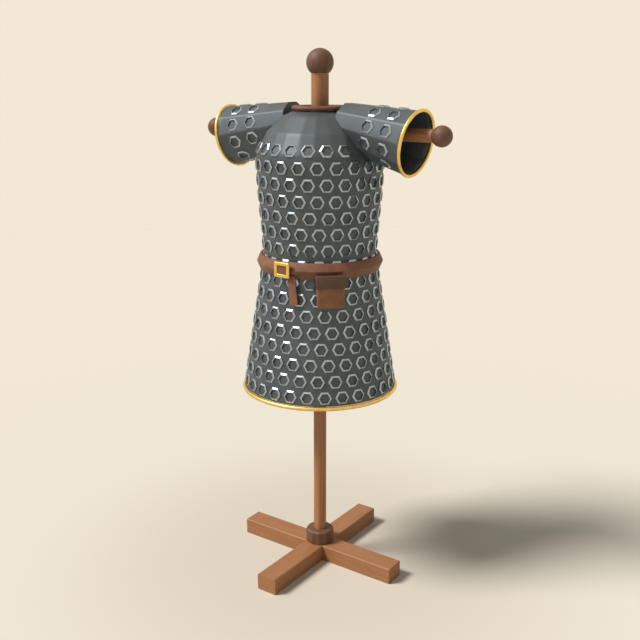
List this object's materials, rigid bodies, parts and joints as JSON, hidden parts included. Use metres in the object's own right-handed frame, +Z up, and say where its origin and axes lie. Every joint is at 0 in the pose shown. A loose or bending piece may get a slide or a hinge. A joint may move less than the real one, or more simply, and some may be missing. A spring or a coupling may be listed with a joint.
{
  "type": "chainmail hauberk on a wooden stand",
  "caption": "Short-sleeved, knee-length ring-mail hauberk with gilt edging, a ridged belt and a pouch, filled out on a wooden cross-foot stand.",
  "frame": {"origin": "on the floor, on the axis of the stand's pole", "axes": "+Z up along the pole, -Y towards the front of the garment, where the buckle is, and +X along the crossbar towards the wearer's left arm"},
  "size_m": [0.8982, 0.6, 1.6884],
  "materials": {
    "mail_ground": "fine dark steel mail, worn as cloth, that carries the pale rings",
    "steel_rings": "satin pale steel",
    "neck_leather": "satin brown",
    "belt_leather": "satin brown",
    "pouch_leather": "satin brown",
    "flap_leather": "satin dark brown",
    "gilt": "satin gilt",
    "wood": "satin reddish brown",
    "dark_wood": "satin dark brown"
  },
  "bodies": {
    "root": {"body_front": "mail_ground", "body_back": "mail_ground", "sleeve_left": "mail_ground", "sleeve_right": "mail_ground", "neck_trim": "neck_leather", "hem_trim": "gilt", "cuff_trim_left": "gilt", "cuff_trim_right": "gilt", "belt": "belt_leather", "buckle": "gilt", "belt_tail": "belt_leather", "pouch_body": "pouch_leather", "pouch_flap": "flap_leather", "leg_across": "wood", "leg_along": "wood", "base_collar": "dark_wood", "pole": "wood", "neck_post": "wood", "crossbar": "wood", "ball_top": "dark_wood", "ball_left": "dark_wood", "ball_right": "dark_wood"}
  },
  "joints": []
}
